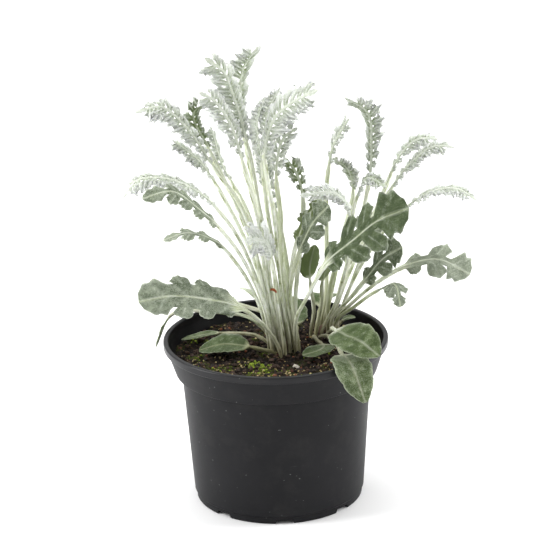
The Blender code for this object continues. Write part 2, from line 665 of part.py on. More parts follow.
def make_leaf(order, row):
    """Stalk and blade of one leaf as a single closed body."""
    name, crown, kind_name, ring, bearing, route, length, half_width, turn, droop = row
    kind = KINDS[kind_name]
    chance = random.Random(100 + order)
    angle = math.radians(bearing)
    foot = (CROWNS[crown][0] + RING_RADII[ring] * math.cos(angle),
            CROWNS[crown][1] + RING_RADII[ring] * math.sin(angle))
    samples, runs = smooth_route(((*foot, FOOT_Z), (*foot, SOIL_TOP + COLUMN_RISE), *route))
    start = runs[-1] - length
    stalk = stalk_stations(start)
    blade, roots = blade_stations(kind, start, length)
    distances = stalk + blade
    frames = lean_frames(samples, runs, distances, turn, start)
    sheet = Sheet()
    rows = []
    for distance, (point, forward, right, upper) in zip(distances, frames):
        share = (distance - start) / length
        if share < 0.0:
            half = kind["stalk"] * (1.0 + 0.25 * share / max(1.0, start / length))
            rise, middle, edge = 0.0, STALK_HALF, 0.6 * STALK_HALF
        else:
            half = wing_width(kind, share, half_width)
            rise = 0.12 * half * (1.0 if kind["pitch"] == 0.0 else 0.6)
            ease = min(1.0, share / 0.25)
            middle = STALK_HALF + (1.4 * BLADE_HALF - STALK_HALF) * ease
            edge = 0.6 * STALK_HALF + (BLADE_HALF - 0.6 * STALK_HALF) * ease
        rows.append([
            sheet.add(point + right * half + upper * rise, upper, edge),
            sheet.add(point, upper, middle),
            sheet.add(point - right * half + upper * rise, upper, edge),
        ])
    for low, high in zip(rows, rows[1:]):
        sheet.quads.append((low[0], high[0], high[1], low[1]))
        sheet.quads.append((low[1], high[1], high[2], low[2]))
    for side, starts in roots.items():
        column = 0 if side > 0 else 2
        for first in starts:
            base = [rows[len(stalk) + first + k][column] for k in range(kind["columns"] + 1)]
            share = (distances[len(stalk) + first] - start) / length
            reach = half_width * kind["reach"] * blade_profile(share) * chance.uniform(0.9, 1.08)
            lean = kind["forward"] + chance.uniform(-5.0, 5.0)
            pitch = length * (1.0 - kind["tip"]) / len(starts) * (1.06 - 0.12 * share)
            reach = max(reach, MIN_REACH)
            half_lobe = min(0.5 * kind["fill"] * pitch * math.cos(math.radians(lean)), 0.75 * reach)
            curl = droop * chance.uniform(0.85, 1.1) * min(1.0, reach / CURL_REACH)
            add_lobe(sheet, base, side, reach, half_lobe, curl, lean,
                     kind["columns"], kind["rows"])
    points, faces = sheet.solid()
    return add_object(name, points, faces, kind["finish"])


def main():
    clear_scene()
    make_pot()
    make_soil()
    for name in CROWNS:
        make_crown(name)
    for order, row in enumerate(LEAVES):
        make_leaf(order, row)


main()
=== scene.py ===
"""Looks of the potted dusty miller: fine leaves, felt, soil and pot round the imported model."""
import math
import random

import bmesh
import bpy
import numpy as np
from mathutils import Matrix, Vector, noise


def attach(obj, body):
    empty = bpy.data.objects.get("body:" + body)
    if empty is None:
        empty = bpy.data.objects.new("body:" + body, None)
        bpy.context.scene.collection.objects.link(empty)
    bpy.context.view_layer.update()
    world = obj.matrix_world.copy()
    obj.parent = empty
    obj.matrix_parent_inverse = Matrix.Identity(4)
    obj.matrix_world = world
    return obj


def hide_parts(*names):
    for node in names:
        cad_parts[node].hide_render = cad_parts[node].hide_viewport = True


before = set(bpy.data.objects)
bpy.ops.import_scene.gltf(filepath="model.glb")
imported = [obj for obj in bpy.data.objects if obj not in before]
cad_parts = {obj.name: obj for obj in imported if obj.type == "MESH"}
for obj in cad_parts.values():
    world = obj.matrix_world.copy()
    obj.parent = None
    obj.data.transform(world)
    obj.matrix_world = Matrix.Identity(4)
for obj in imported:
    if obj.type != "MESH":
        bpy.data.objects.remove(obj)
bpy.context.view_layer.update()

MM = 0.001
ROOT = "root"

# Pot, in millimetres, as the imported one, with finer rounds
POT_HEIGHT = 126.3
RIM_RADIUS = 85.0
LIP_HEIGHT = 5.6
COLLAR_HEIGHT = 24.6
COLLAR_FOOT_RADIUS = 76.6
WALL_TOP_RADIUS = 71.7
WALL_FOOT_RADIUS = 65.0
FOOT_RADIUS = 63.7
WALL = 1.6
ROUND = 1.1
STEP_DROP = 1.4
LIP_OVERHANG = 2.6
LIP_WIDTH = 3.8
LIP_FADE = 2.0
FOOT_WIDTH = 3.4
FOOT_HEIGHT = 6.0
PAD_RADIUS = 25.0
PAD_SLOPE = 3.0
CHANNEL_RADIUS = 57.5
CHANNEL_RISE = 4.0
NOTCHES = 8
NOTCH_WIDTH = 15.0
NOTCH_RISE = 3.2
NOTCH_TURN = math.radians(-87.0)
DRAIN_RADIUS = 4.0
DRAIN_CIRCLE = 46.0
POT_SIDES = 144
DRAIN_SIDES = 24

# Crowns, and the rings on which the stalks stand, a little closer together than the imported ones
SOIL_TOP = 113.0
CROWNS = ((8.0, 2.0), (36.0, 34.0))
FOOT_Z = SOIL_TOP - 9.0
COLUMN_RISE = 2.5
RING_RADII = (5.4, 9.4, 13.2)

# Soil: fineness and skirt, as radius and height, where the brightest moss and the pale pebble lie,
# and the dried scraps as place, size and turn in radians
SOIL_RADIUS = 78.4
SOIL_RINGS = 84
SOIL_SIDES = 260
SOIL_SKIRT = ((76.2, 106.0), (70.0, 101.0), (69.0, 98.0), (62.8, 8.0), (61.6, 6.2))
MOSS_TUFT = (-13.7, -29.2)
PEBBLE = (14.6, -33.2)
PEBBLE_SIZE = 2.2
DRIED = (
    (-0.7, -16.0, 168.4, 2.6, 0.5),
    (47.6, 17.4, 121.0, 3.4, 0.2),
    (41.8, 30.0, 118.0, 2.4, -0.4),
)
LITTER_SEED = 7

# Leaves: thicknesses, least sizes, how far up a stalk is brownish, outlines, fineness and seeds
BLADE_HALF = 0.32
STALK_HALF = 1.35
MIN_WING = 1.0
MIN_REACH = 3.0
CURL_REACH = 9.0
FULL_TIP = 0.35
TIP_SHOULDER = 0.3
TIP_ROUND = 0.55
FOOT_BLUSH = 38.0
LOBE_BELLY = 0.38
WING_COLUMNS = 6
LOBE_ROWS = 11
BLADE_ARCH = (0.18, 0.82, 1.25, 0.7)
FROND_ARCH = (0.14, 0.80, 1.45, 0.8)
STALK_SECTION = 7.0
TANGENT_STEP = 1.5
SHAPE_SEED = 100
DETAIL_SEED = 900

# Camera, fitted to the pot's rim, step and foot
CAMERA_ELEVATION = math.radians(19.43)
CAMERA_ROLL = math.radians(-1.46)
CAMERA_TARGET = (1.8, 0.0, 174.1)
CAMERA_DISTANCE = 1800.0
FOCAL_PIXELS = 2403.0
FRAME_PIXELS = 553.0

# Studio, in metres: half side of the floor, how the surroundings brighten upward and backward, as
# value range in and strength range out, and the lights as name, place, aim, size and power
FLOOR_HALF = 4.0
WORLD_RISE = (-0.05, 0.75, 0.1, 0.75)
WORLD_DEPTH = (-0.9, 0.6, 0.05, 0.4)
LIGHTS = (
    ("key", (-1.6, -0.25, 0.85), (0.0, 0.0, 0.15), (0.6, 1.5), 32.0),
    ("side", (1.55, 0.0, 0.8), (0.0, 0.0, 0.12), (0.5, 1.3), 20.0),
    ("top", (0.0, 0.7, 2.2), (0.0, 0.0, 0.2), (1.8, 1.2), 22.0),
)

# Kinds of leaf. pitch: distance between the lobes of one side, or 0 for an uncut blade; wing and
# reach: the uncut strip and the lobes as shares of the half width; forward: lean of a lobe to the
# tip; fill: share of the pitch that a lobe takes; tip: end lobe; stalk: half width; columns:
# fineness; twist: how far, in degrees, a lobe may turn on its own midline; curl: share of the
# packed lobes' bend; scallop: how deep the lobe's end is cut into lobules; bumps: waves along a
# lobe's sides; rib: how pale the midrib is; ruffle: waves across a lobe.
KIND_FIELDS = ("pitch", "wing", "reach", "forward", "fill", "tip", "stalk", "layout", "columns",
               "twist", "curl", "scallop", "bumps", "rib", "ruffle", "slot")
KINDS = {name: dict(zip(KIND_FIELDS, row)) for name, row in {
    "frond": (7.6, 0.08, 1.0, 30.0, 1.45, 0.12, 1.9, "alternate", 10, 34.0, 0.66, 0.22, 0.24, 0.5,
              0.46, "frond_felt"),
    "broad": (24.0, 0.26, 0.74, 26.0, 0.98, 0.34, 2.0, "opposite", 14, 5.0, 1.0, 0.08, 0.02, 0.7,
              0.1, "leaf_sage"),
    "lobed": (16.0, 0.26, 0.72, 30.0, 0.92, 0.26, 2.0, "opposite", 10, 10.0, 1.0, 0.08, 0.04, 0.7,
              0.16, "leaf_sage"),
    "scalloped": (25.0, 0.6, 0.38, 20.0, 1.02, 0.32, 2.0, "opposite", 14, 4.0, 1.0, 0.04, 0.0, 0.8,
                  0.07, "leaf_sage"),
    "felted": (7.0, 0.14, 0.9, 26.0, 1.45, 0.16, 2.2, "opposite", 10, 36.0, 0.9, 0.26, 0.26, 0.25,
               0.55, "frond_felt"),
    "oval": (0.0, 1.0, 0.0, 0.0, 1.0, 1.0, 1.6, "opposite", 2, 0.0, 0.0, 0.0, 0.0, 0.3, 0.0,
             "leaf_green"),
}.items()}

# Leaves: name, crown (0 left, 1 right), kind, ring and bearing of the foot, blade length, half
# width, turn of the blade about its midrib, droop of the lobes, felt from 0 bare green to 1 silver,
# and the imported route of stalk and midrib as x, y, z in turn, in millimetres and degrees
LEAVES = (
    ("frond_left_high", 0, "frond", 0, 170, 76, 15, -60, 150, 0.84,
     -2, 4, 161, -9, 4, 222, -18, 6, 279, -27, 8, 314, -33, 6, 331, -46, -2, 344),
    ("frond_top", 0, "frond", 0, 120, 62, 16, 20, 75, 0.74,
     2, 14, 158, -9, 28, 214, -18, 38, 262, -22, 42, 300, -19, 40, 325, -8, 34, 342),
    ("frond_left_mid", 0, "frond", 0, 215, 64, 11, -70, 160, 0.92,
     -5, 0, 164, -12, -2, 226, -21, -4, 265, -30, -6, 297, -42, -8, 315, -51, -12, 321),
    ("frond_white_tall", 0, "frond", 0, 300, 74, 17, 60, 130, 0.92,
     5, 4, 163, 1, 2, 224, -4, 4, 272, 4, 2, 297, 19, -4, 311, 35, -10, 320),
    ("frond_slim", 0, "frond", 0, 70, 52, 8, 40, 150, 0.92,
     9, 15, 157, 1, 26, 214, -5, 34, 263, -1, 34, 295, 8, 28, 313),
    ("frond_inner_right", 0, "frond", 0, 15, 46, 10, 50, 150, 0.92,
     7, 9, 161, 6, 14, 218, 4, 16, 256, 10, 14, 278, 20, 8, 287),
    ("frond_inner_mid", 0, "frond", 1, 88, 56, 10, 20, 140, 0.92,
     6, 20, 157, -3, 21, 212, -7, 26, 253, -10, 27, 288, -4, 21, 307),
    ("frond_left_arch", 0, "frond", 1, 190, 78, 13, -35, 110, 0.92,
     -9, 2, 171, -24, 4, 230, -44, 6, 261, -62, 6, 290, -80, 2, 307, -98, -4, 305),
    ("frond_left_curl", 0, "frond", 1, 145, 44, 9, -20, 130, 0.5,
     -8, 12, 167, -27, 24, 223, -47, 36, 265, -57, 40, 292, -48, 36, 302),
    ("frond_left_thin", 0, "frond", 1, 120, 44, 7, 10, 130, 0.92,
     -5, 18, 165, -21, 36, 219, -37, 44, 249, -45, 46, 279),
    ("frond_left_low", 0, "frond", 1, 215, 82, 10, -20, 110, 0.92,
     -12, -6, 171, -34, -11, 223, -55, -14, 247, -79, -16, 258, -99, -18, 257, -109, -20, 245),
    ("frond_left_small", 0, "frond", 1, 167, 46, 8, -10, 130, 0.92,
     -9, 6, 165, -33, 12, 227, -54, 14, 262, -73, 12, 279),
    ("leaf_left_drooped", 0, "lobed", 2, 215, 68, 14, -30, 35, 0.2,
     -14, -14, 173, -34, -30, 217, -54, -40, 242, -72, -46, 257, -93, -52, 254),
    ("leaf_left_narrow", 0, "lobed", 2, 193, 50, 9, -15, 20, 0.34,
     -13, -2, 156, -26, -4, 184, -45, -8, 207, -64, -12, 214, -81, -16, 210),
    ("leaf_left_broad", 0, "scalloped", 2, 250, 76, 24, -30, 18, 0.22,
     -6, -16, 138, -26, -30, 161, -51, -40, 172, -76, -46, 177, -99, -54, 176),
    ("leaf_centre_felted", 0, "felted", 1, 262, 34, 15, -60, 40, 1.05,
     1, -6, 158, -1, -10, 189, -6, -16, 207, -20, -26, 212),
    ("leaf_left_ground", 0, "oval", 2, 230, 40, 12, -14, 0, -0.06,
     -9, -12, 120, -23, -11, 123, -40, -6, 123, -58, -5, 118),
    ("leaf_left_ground_back", 0, "oval", 2, 152, 30, 6, 0, 0, 0.0,
     -14, 13, 122, -31, 17, 123, -47, 20, 122, -72, 22, 117),
    ("leaf_left_over_rim", 0, "oval", 2, 131, 26, 8, 0, 0, 0.0,
     -12, 22, 129, -52, 26, 138, -77, 32, 136, -92, 27, 110),
    ("leaf_left_small_felted", 0, "oval", 2, 172, 20, 4, 0, 0, 0.6,
     -6, 3, 127, -15, 0, 138, -30, -2, 147),
    ("leaf_left_small_curl", 0, "oval", 2, 110, 16, 5, 20, 0, 0.75,
     -6, 22, 133, -14, 32, 145, -22, 36, 151, -27, 38, 152),
    ("leaf_right_broad", 0, "broad", 1, 320, 78, 27, 48, 14, -0.06,
     16, -12, 145, 25, -18, 165, 40, -26, 194, 58, -31, 211, 77, -36, 228, 99, -40, 238),
    ("leaf_dark_upright", 0, "broad", 1, 345, 46, 15, 65, 30, 0.12,
     12, 0, 163, 17, -3, 186, 23, -6, 204, 31, -9, 220, 42, -13, 233),
    ("frond_beaded", 0, "frond", 1, 45, 32, 8, 0, 120, 0.5,
     16, 17, 153, 21, 27, 194, 23, 34, 227, 19, 36, 243, 11, 34, 256),
    ("leaf_centre_pointed", 0, "lobed", 1, 10, 38, 13, -70, 30, 0.1,
     11, 10, 158, 14, 12, 181, 19, 14, 201, 27, 14, 218, 36, 12, 230),
    ("leaf_far_right", 1, "broad", 2, 335, 54, 18, 38, 22, 0.36,
     48, 30, 128, 60, 28, 142, 80, 24, 160, 98, 20, 172, 124, 12, 180, 147, 2, 171),
    ("leaf_right_mid", 1, "broad", 1, 318, 44, 16, 60, 15, 0.1,
     43, 23, 129, 57, 14, 150, 69, 8, 167, 83, 2, 186, 96, -4, 196),
    ("leaf_right_drooped", 1, "lobed", 2, 303, 34, 13, 5, 25, 0.24,
     46, 19, 129, 60, 4, 147, 77, -9, 164, 89, -16, 171, 93, -24, 156),
    ("leaf_white_level", 1, "felted", 0, 330, 50, 10, -40, 50, 1.05,
     41, 34, 141, 51, 36, 182, 59, 32, 213, 49, 26, 229, 21, 16, 232),
    ("leaf_green_low", 1, "oval", 1, 195, 30, 9, 5, 0, -0.2,
     30, 36, 133, 28, 33, 151, 27, 29, 170, 31, 24, 190),
    ("leaf_dark_round", 1, "oval", 1, 235, 26, 8, 0, 0, -0.1,
     36, 30, 144, 36, 24, 157, 39, 17, 172, 45, 10, 184),
    ("frond_right_upright", 1, "frond", 0, 30, 76, 11, 70, 120, 0.8,
     49, 40, 140, 60, 42, 179, 71, 42, 219, 76, 42, 262, 73, 38, 289, 56, 30, 303),
    ("frond_right_arch", 1, "frond", 1, 50, 48, 9, 20, 120, 0.92,
     50, 50, 137, 68, 56, 179, 87, 60, 223, 98, 62, 247, 112, 62, 260, 127, 58, 261),
    ("frond_right_arch_low", 1, "frond", 1, 20, 60, 8, 20, 120, 0.92,
     53, 40, 136, 71, 42, 183, 90, 44, 226, 108, 44, 249, 124, 42, 260, 138, 38, 260),
    ("frond_far_right", 1, "frond", 1, 350, 58, 9, 10, 80, 0.92,
     52, 36, 136, 72, 30, 180, 96, 22, 214, 119, 18, 232, 139, 12, 235, 152, 6, 228),
    ("frond_right_thin", 1, "frond", 0, 110, 40, 6, 0, 140, 0.92,
     39, 46, 138, 41, 56, 183, 43, 64, 233, 48, 66, 256, 60, 62, 278),
    ("leaf_right_curled", 1, "felted", 1, 85, 36, 8, 30, 60, 0.7,
     43, 50, 137, 53, 56, 184, 62, 56, 227, 57, 50, 243, 47, 44, 252),
    ("leaf_right_arch", 1, "felted", 0, 260, 34, 8, 20, 50, 0.75,
     46, 28, 140, 58, 24, 185, 63, 20, 226, 72, 14, 245, 85, 6, 240),
    ("leaf_right_dark_low", 1, "oval", 2, 236, 30, 10, 0, 0, -0.08,
     32, 6, 119, 36, -8, 120, 31, -20, 121, 20, -25, 120),
    ("leaf_right_oval", 1, "oval", 2, 280, 50, 15, 22, 0, -0.02,
     43, 4, 129, 43, -24, 140, 51, -44, 143, 62, -57, 142, 75, -69, 135),
    ("leaf_right_hanging", 1, "oval", 2, 258, 54, 14, 0, 0, 0.08,
     37, 10, 122, 44, -15, 127, 49, -44, 127, 54, -66, 129, 64, -84, 105),
    ("leaf_right_small", 1, "oval", 2, 40, 11, 4, 0, 0, 0.0,
     50, 44, 119, 55, 46, 122, 62, 45, 123),
    ("leaf_back_right", 1, "lobed", 2, 66, 54, 18, 10, 20, 0.16,
     46, 54, 126, 56, 66, 155, 69, 80, 181, 89, 92, 193),
    ("frond_back_mid", 0, "frond", 1, 70, 56, 10, 0, 120, 0.92,
     12, 20, 144, 7, 40, 191, -3, 56, 231, -7, 62, 265),
    ("leaf_back_left", 0, "lobed", 2, 90, 60, 17, 0, 20, 0.16,
     4, 25, 127, -27, 42, 137, -54, 62, 138, -81, 80, 134),
    ("leaf_back_round", 0, "oval", 2, 60, 34, 9, 0, 0, 0.0,
     16, 22, 122, 16, 44, 128, 14, 60, 136),
    ("leaf_back_low", 1, "oval", 2, 100, 36, 9, 0, 0, 0.0,
     34, 58, 121, 38, 74, 131, 44, 95, 122),
)


def clamp(value):
    return max(0.0, min(1.0, value))


def unit(vector):
    return vector / np.linalg.norm(vector)


def polar(radius, angle):
    return radius * math.cos(angle), radius * math.sin(angle)


def circle(radius, sides):
    """Evenly spaced places round a circle."""
    return [polar(radius, math.tau * step / sides) for step in range(sides)]


def link(item):
    bpy.context.scene.collection.objects.link(item)
    return item


def srgb(*levels):
    """Linear colour with alpha from three sRGB bytes."""
    shares = (level / 255.0 for level in levels)
    return (*(s / 12.92 if s <= 0.04045 else ((s + 0.055) / 1.055) ** 2.4 for s in shares), 1.0)


class Nodes:
    """Short calls for building a node tree."""

    def __init__(self, name, owner=None):
        self.owner = owner or bpy.data.materials.new(name)
        self.owner.use_nodes = True
        self.tree = self.owner.node_tree
        self.shader = self.tree.nodes.get("Principled BSDF") or self.tree.nodes["Background"]
        self.places = self.add("TexCoord")

    def fill(self, node, inputs):
        for key, value in inputs.items():
            if isinstance(value, bpy.types.NodeSocket):
                self.tree.links.new(value, node.inputs[key])
            else:
                node.inputs[key].default_value = value

    def add(self, kind, inputs=None, **values):
        """Outputs of a new node with these settings and inputs."""
        node = self.tree.nodes.new("ShaderNode" + kind)
        for key, value in values.items():
            setattr(node, key, value)
        self.fill(node, inputs or {})
        return node.outputs

    def noise(self, scale, detail=3.0, roughness=0.55, distortion=0.0, place=None):
        return self.add("TexNoise", {"Scale": scale, "Detail": detail, "Roughness": roughness,
                                     "Distortion": distortion,
                                     "Vector": place or self.places["Object"]})["Fac"]

    def attribute(self, name):
        return self.add("Attribute", attribute_name=name)["Fac"]

    def math(self, operation, first, second, clamp=False):
        return self.add("Math", {0: first, 1: second}, operation=operation, use_clamp=clamp)[0]

    def times(self, first, second):
        return self.math("MULTIPLY", first, second)

    def mix(self, factor, first, second):
        return self.add("Mix", {0: factor, 6: first, 7: second}, data_type="RGBA",
                        clamp_factor=True)[2]

    def ramp(self, value, stops):
        colour = self.add("ValToRGB", {"Fac": value})["Color"]
        elements = colour.node.color_ramp.elements
        while len(elements) < len(stops):
            elements.new(0.5)
        for element, (position, level) in zip(elements, stops):
            element.position = position
            element.color = level
        return colour

    def spread(self, value, low, high, out_low=0.0, out_high=1.0, **values):
        return self.add("MapRange", {"Value": value, "From Min": low, "From Max": high,
                                     "To Min": out_low, "To Max": out_high}, **values)["Result"]

    def bump(self, height, strength, distance, **normal):
        return self.add("Bump", {"Height": height, "Strength": strength, "Distance": distance,
                                 **normal})["Normal"]


def leaf_material(name, green, deep, silver, below, sheen):
    """Felted leaf: green under pale hairs, thickest on rims, ribs and stalk; painted shade thins the
    felt towards frond lobe bases, the frond midrib and the undersides.
    """
    n = Nodes(name)
    felt, rim, vein, stalk, under, foot, bare, tone, across, along = map(
        n.attribute, "felt rim vein stalk under foot bare tone across along".split())
    blotch = n.noise(150.0, 4.0, 0.6)
    speck = n.noise(1500.0, 3.0, 0.75)
    shade = n.math("ADD", n.spread(blotch, 0.35, 0.68), n.times(tone, 0.5), clamp=True)
    colour = n.mix(shade, green, deep)
    colour = n.mix(n.spread(felt, -0.2, -0.1, 0.8, 0.0), colour, srgb(62, 88, 28))
    # Underside colour: for the fronds a darker olive, painted shade of their curled-under lobes; the
    # other leaves get a paler green underside.
    colour = n.mix(n.times(under, 0.7), colour, below)
    coat = n.math("ADD", felt, n.spread(speck, 0.36, 0.66, -0.2, 0.24))
    coat = n.math("ADD", coat, n.spread(blotch, 0.3, 0.7, 0.1, -0.12))
    # Felt cover: whiter rims and veins; painted shade takes felt off towards frond lobe bases and the
    # frond midrib and off every underside, so these read greener and darker.
    for part, weight in ((n.math("POWER", rim, 6.0), 0.45), (bare, -0.7), (under, -0.26),
                         (vein, 0.35)):
        coat = n.math("ADD", coat, n.times(part, weight))
    colour = n.mix(coat, colour, silver)
    line = n.add("CombineXYZ", {0: n.times(across, 3.2), 1: n.times(along, 0.035), 2: tone})[0]
    streak = n.noise(2.6, 3.0, 0.6, place=line)
    rib = n.ramp(streak, ((0.34, srgb(124, 134, 84)), (0.46, srgb(198, 205, 172)),
                          (0.60, srgb(238, 241, 231))))
    rib = n.mix(n.spread(speck, 0.45, 0.7, 0.0, 0.45), rib, srgb(240, 242, 238))
    rib = n.mix(n.spread(tone, 0.45, 1.0, 0.0, 0.6), rib, srgb(142, 154, 98))
    colour = n.mix(stalk, colour, rib)
    blush = n.mix(n.spread(streak, 0.35, 0.62), srgb(76, 68, 44), srgb(148, 142, 100))
    fuzz = n.bump(n.noise(2600.0, 2.0, 0.7), 0.35, 0.0003)
    weave = n.bump(n.noise(620.0, 3.0, 0.6, 0.4), 0.5, 0.0006, Normal=fuzz)
    n.fill(n.shader, {"Base Color": n.mix(foot, colour, blush),
                      "Roughness": n.spread(speck, 0.3, 0.7, 0.6, 0.85),
                      "Normal": n.bump(n.times(streak, stalk), 0.6, 0.0008, Normal=weave),
                      "Sheen Weight": sheen, "Sheen Roughness": 0.45,
                      "Sheen Tint": (1.0, 1.0, 0.97, 1.0), "Specular IOR Level": 0.22,
                      "Subsurface Weight": 0.08, "Subsurface Scale": 0.0012,
                      "Subsurface Radius": (0.8, 1.0, 0.5)})
    return n.owner


def plastic_material():
    """Moulded charcoal plastic: fine grain, faint flow marks, pale scuffs, dust, glossier lip."""
    n = Nodes("pot_charcoal")
    cloud = n.noise(20.0, 4.0, 0.6)
    grain = n.noise(2400.0, 2.0, 0.6)
    colour = n.ramp(cloud, ((0.3, srgb(24, 24, 26)), (0.7, srgb(31, 31, 33))))
    colour = n.mix(n.spread(n.noise(420.0, 1.0, 0.4), 0.775, 0.80, 0.0, 0.5), colour,
                   srgb(118, 120, 118))
    stretch = n.add("Mapping", {"Vector": n.places["Object"], "Rotation": (0.3, 0.5, 0.2),
                                "Scale": (1.0, 1.0, 7.0)})
    scratch = n.noise(90.0, 2.0, 0.4, place=stretch["Vector"])
    colour = n.mix(n.spread(scratch, 0.76, 0.82, 0.0, 0.2), colour, srgb(92, 94, 94))
    dust = n.spread(n.noise(50.0, 5.0, 0.7), 0.5, 0.8, 0.0, 0.08)
    height = n.add("SeparateXYZ", {0: n.places["Object"]})["Z"]
    lip = n.spread(height, 0.1195, 0.1225)
    rough = n.math("ADD", n.spread(cloud, 0.3, 0.7, 0.4, 0.48), n.times(grain, 0.06))
    ripple = n.bump(n.noise(30.0, 2.0, 0.5), 0.2, 0.0012)
    n.fill(n.shader, {"Base Color": n.mix(dust, colour, srgb(96, 94, 88)),
                      "Roughness": n.math("SUBTRACT", rough, n.times(lip, 0.14)),
                      "Specular IOR Level": n.spread(lip, 0.0, 1.0, 0.12, 0.24),
                      "Normal": n.bump(grain, 0.1, 0.0002, Normal=ripple)})
    return n.owner


def soil_material():
    """Moist peat: near black with brown fibres, sandy grit and patches of moss."""
    n = Nodes("soil_peat")
    crumb = n.noise(480.0, 6.0, 0.72)
    fibre = n.noise(240.0, 4.0, 0.65, 1.6)
    colour = n.ramp(crumb, ((0.38, srgb(9, 7, 6)), (0.54, srgb(30, 23, 17)),
                            (0.66, srgb(72, 55, 38)), (0.78, srgb(150, 130, 92))))
    colour = n.mix(n.spread(fibre, 0.6, 0.72, 0.0, 0.5), colour, srgb(84, 54, 36))
    moss = n.times(n.attribute("moss"), n.spread(n.noise(300.0, 4.0, 0.7), 0.36, 0.58))
    colour = n.mix(moss, colour, n.mix(fibre, srgb(52, 64, 18), srgb(120, 134, 42)))
    n.fill(n.shader, {"Base Color": colour, "Roughness": 0.92, "Specular IOR Level": 0.25,
                      "Normal": n.bump(crumb, 0.9, 0.002)})
    return n.owner


def crumb_material(name, dark, light):
    """Small loose bits, each a little different."""
    n = Nodes(name)
    colour = n.mix(n.attribute("tint"), dark, light)
    colour = n.mix(n.spread(n.noise(900.0, 4.0, 0.7), 0.35, 0.7, 0.0, 0.5), colour, dark)
    n.fill(n.shader, {"Base Color": colour, "Roughness": 0.9,
                      "Normal": n.bump(n.noise(1500.0, 3.0, 0.6), 0.6, 0.0005)})
    return n.owner


def add_mesh(name, points, faces, material=None, marks=None, smooth=True):
    """Mesh object from points in millimetres, with its float marks."""
    mesh = bpy.data.meshes.new(name)
    mesh.from_pydata([tuple(c * MM for c in point) for point in points], [], faces)
    mesh.update()
    for key, values in (marks or {}).items():
        layer = mesh.attributes.new(key, "FLOAT", "POINT")
        layer.data.foreach_set("value", np.asarray(values, dtype=np.float32))
    if smooth:
        mesh.shade_smooth()
    if material is not None:
        mesh.materials.append(material)
    return link(bpy.data.objects.new(name, mesh))


def dress(item, slot, *nodes):
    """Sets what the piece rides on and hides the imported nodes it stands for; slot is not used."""
    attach(item, ROOT)
    if nodes:
        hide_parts(*nodes)
    return item


def revolve(profile, sides):
    """Closed turned body: the profile runs from the lower axis point to the upper one."""
    points = [(0.0, 0.0, profile[0][1])]
    for radius, height in profile[1:-1]:
        points += [(x, y, height) for x, y in circle(radius, sides)]
    last = len(points)
    points.append((0.0, 0.0, profile[-1][1]))
    faces = []
    for step in range(sides):
        after = (step + 1) % sides
        faces.append((0, 1 + after, 1 + step))
        for low in range(1, last - sides, sides):
            high = low + sides
            faces.append((low + step, low + after, high + after, high + step))
        faces.append((last, last - sides + step, last - sides + after))
    return points, faces


def arc(centre, start, end, count):
    """Points of a rounded edge in the section plane, angles in degrees."""
    points = []
    for k in range(count + 1):
        x, y = polar(ROUND, math.radians(start + (end - start) * k / count))
        points.append((centre[0] + x, centre[1] + y))
    return points


def pot_profile():
    """Half section of the pot, from under the pad out, up and back in."""
    r, step_z, lip_z = ROUND, POT_HEIGHT - COLLAR_HEIGHT, POT_HEIGHT - LIP_HEIGHT
    floor_z, lip_inner = CHANNEL_RISE + WALL, RIM_RADIUS - LIP_WIDTH
    return (
        (0.0, 0.0),
        (PAD_RADIUS, 0.0),
        (PAD_RADIUS + PAD_SLOPE, CHANNEL_RISE),
        (CHANNEL_RADIUS, CHANNEL_RISE),
        (FOOT_RADIUS - FOOT_WIDTH, 0.0),
        *arc((FOOT_RADIUS - r, r), -90.0, 0.0, 4),
        (FOOT_RADIUS, FOOT_HEIGHT - 0.6 * r),
        (FOOT_RADIUS + 0.5 * r, FOOT_HEIGHT - 0.2 * r),
        (WALL_FOOT_RADIUS, FOOT_HEIGHT + 0.5 * r),
        (WALL_TOP_RADIUS, step_z - STEP_DROP - 0.5 * r),
        *arc((WALL_TOP_RADIUS + r, step_z - STEP_DROP - 0.4 * r), 180.0, 100.0, 4),
        *arc((COLLAR_FOOT_RADIUS - r, step_z + 0.6 * r), -80.0, -4.0, 5),
        (RIM_RADIUS - LIP_OVERHANG, lip_z - 0.6 * r),
        *arc((RIM_RADIUS - r, lip_z + r), -100.0, 0.0, 5),
        *arc((RIM_RADIUS - r, POT_HEIGHT - r), 0.0, 90.0, 6),
        *arc((lip_inner + r, POT_HEIGHT - r), 90.0, 180.0, 6),
        (lip_inner - 0.3 * r, lip_z + r),
        (lip_inner - 0.5 * r, lip_z - LIP_FADE),
        (COLLAR_FOOT_RADIUS - WALL, step_z + WALL),
        (WALL_TOP_RADIUS - WALL, step_z - STEP_DROP),
        (WALL_FOOT_RADIUS - WALL, floor_z + r),
        (WALL_FOOT_RADIUS - WALL - r, floor_z),
        (PAD_RADIUS + PAD_SLOPE - r, floor_z),
        (PAD_RADIUS - r, WALL),
        (0.0, WALL),
    )


def cut(item, cutters):
    """Boolean difference of the object and its cutters, applied."""
    for cutter in cutters:
        modifier = item.modifiers.new(cutter.name, "BOOLEAN")
        modifier.object = cutter
    bpy.context.view_layer.update()
    evaluated = item.evaluated_get(bpy.context.evaluated_depsgraph_get())
    mesh = bpy.data.meshes.new_from_object(evaluated)
    item.modifiers.clear()
    item.data = mesh
    for cutter in cutters:
        bpy.data.objects.remove(cutter, do_unlink=True)


def notch_cutter(index, angle):
    """Wedge that opens one drain notch through the foot ring."""
    along = Vector((*polar(1.0, angle), 0.0))
    across = Vector((-along.y, along.x, 0.0))
    points = []
    for radius in (FOOT_RADIUS - 6.5, FOOT_RADIUS + 4.0):
        for half, height in ((0.5, -1.0), (-0.5, -1.0), (-0.38, NOTCH_RISE), (0.38, NOTCH_RISE)):
            point = along * radius + across * (half * NOTCH_WIDTH)
            points.append((point.x, point.y, height))
    faces = [(0, 1, 2, 3), (7, 6, 5, 4)]
    faces += [(k, k + 4, (k + 1) % 4 + 4, (k + 1) % 4) for k in range(4)]
    return add_mesh(f"notch_{index}", points, faces, smooth=False)


